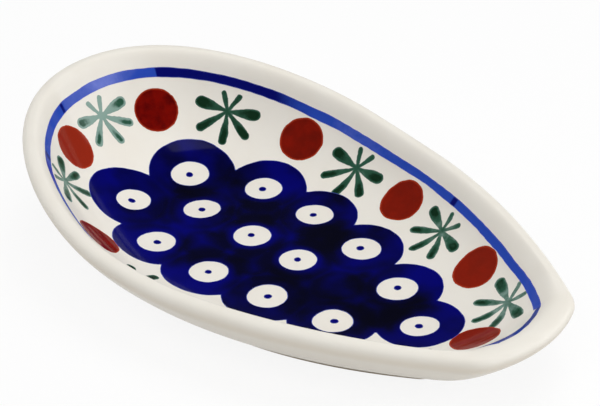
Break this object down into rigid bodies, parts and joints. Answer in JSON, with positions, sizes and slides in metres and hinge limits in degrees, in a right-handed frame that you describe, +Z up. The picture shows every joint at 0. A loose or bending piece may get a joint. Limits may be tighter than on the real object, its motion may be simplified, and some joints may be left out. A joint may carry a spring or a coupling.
{
  "type": "spoon rest",
  "caption": "Oval glazed stoneware spoon rest with a raised rounded back and a low flat end, stamped inside with cobalt eyes, rust dots and green sprigs.",
  "frame": {"origin": "Middle of the bounding box seen from above, on the table plane that the foot ring stands on", "axes": "+X along the dish towards the flat end, +Y across the dish, +Z up"},
  "size_m": [0.128, 0.0786, 0.0267],
  "materials": {
    "stoneware": "matt fired stoneware, bare only on the foot",
    "white_glaze": "glossy warm white glaze",
    "cobalt_band": "brushed cobalt under glossy glaze",
    "cobalt_line": "fine cobalt line under glossy glaze",
    "cobalt_stamp": "stamped cobalt under glossy glaze",
    "rust_stamp": "stamped rust brown under glossy glaze",
    "green_stamp": "stamped green under glossy glaze"
  },
  "bodies": {
    "root": {"stoneware_body": "stoneware", "glaze_coat": "white_glaze", "base_glaze": "white_glaze", "rim_band": "cobalt_band", "end_line": "cobalt_line", "eye_discs": "cobalt_stamp", "eye_pupils": "cobalt_stamp", "rust_dots": "rust_stamp", "green_sprigs": "green_stamp"}
  },
  "joints": []
}
